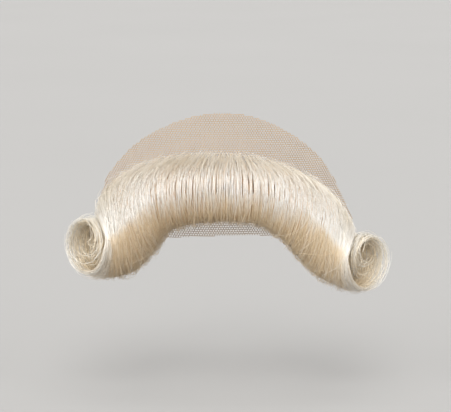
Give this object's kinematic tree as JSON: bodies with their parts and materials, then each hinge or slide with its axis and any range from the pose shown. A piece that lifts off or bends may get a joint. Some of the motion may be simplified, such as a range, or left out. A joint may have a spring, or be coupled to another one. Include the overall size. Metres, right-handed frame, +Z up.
{
  "type": "fake moustache",
  "caption": "Theatrical false moustache of pale hair knotted on an arched lace panel, with the hair curled under into a hollow roll that opens as a ring at each end.",
  "frame": {"origin": "the middle of the lace's back, where the piece sits on the upper lip", "axes": "+X to the viewer's right along the moustache, +Y out of the lace's back towards the lip, +Z up"},
  "size_m": [0.1103, 0.0288, 0.0622],
  "materials": {
    "lace": "fine tan net",
    "hair": "pale ivory hair with a soft sheen"
  },
  "bodies": {
    "root": {"lace_base": "lace", "left_curl": "hair", "centre_roll": "hair", "right_curl": "hair"}
  },
  "joints": []
}
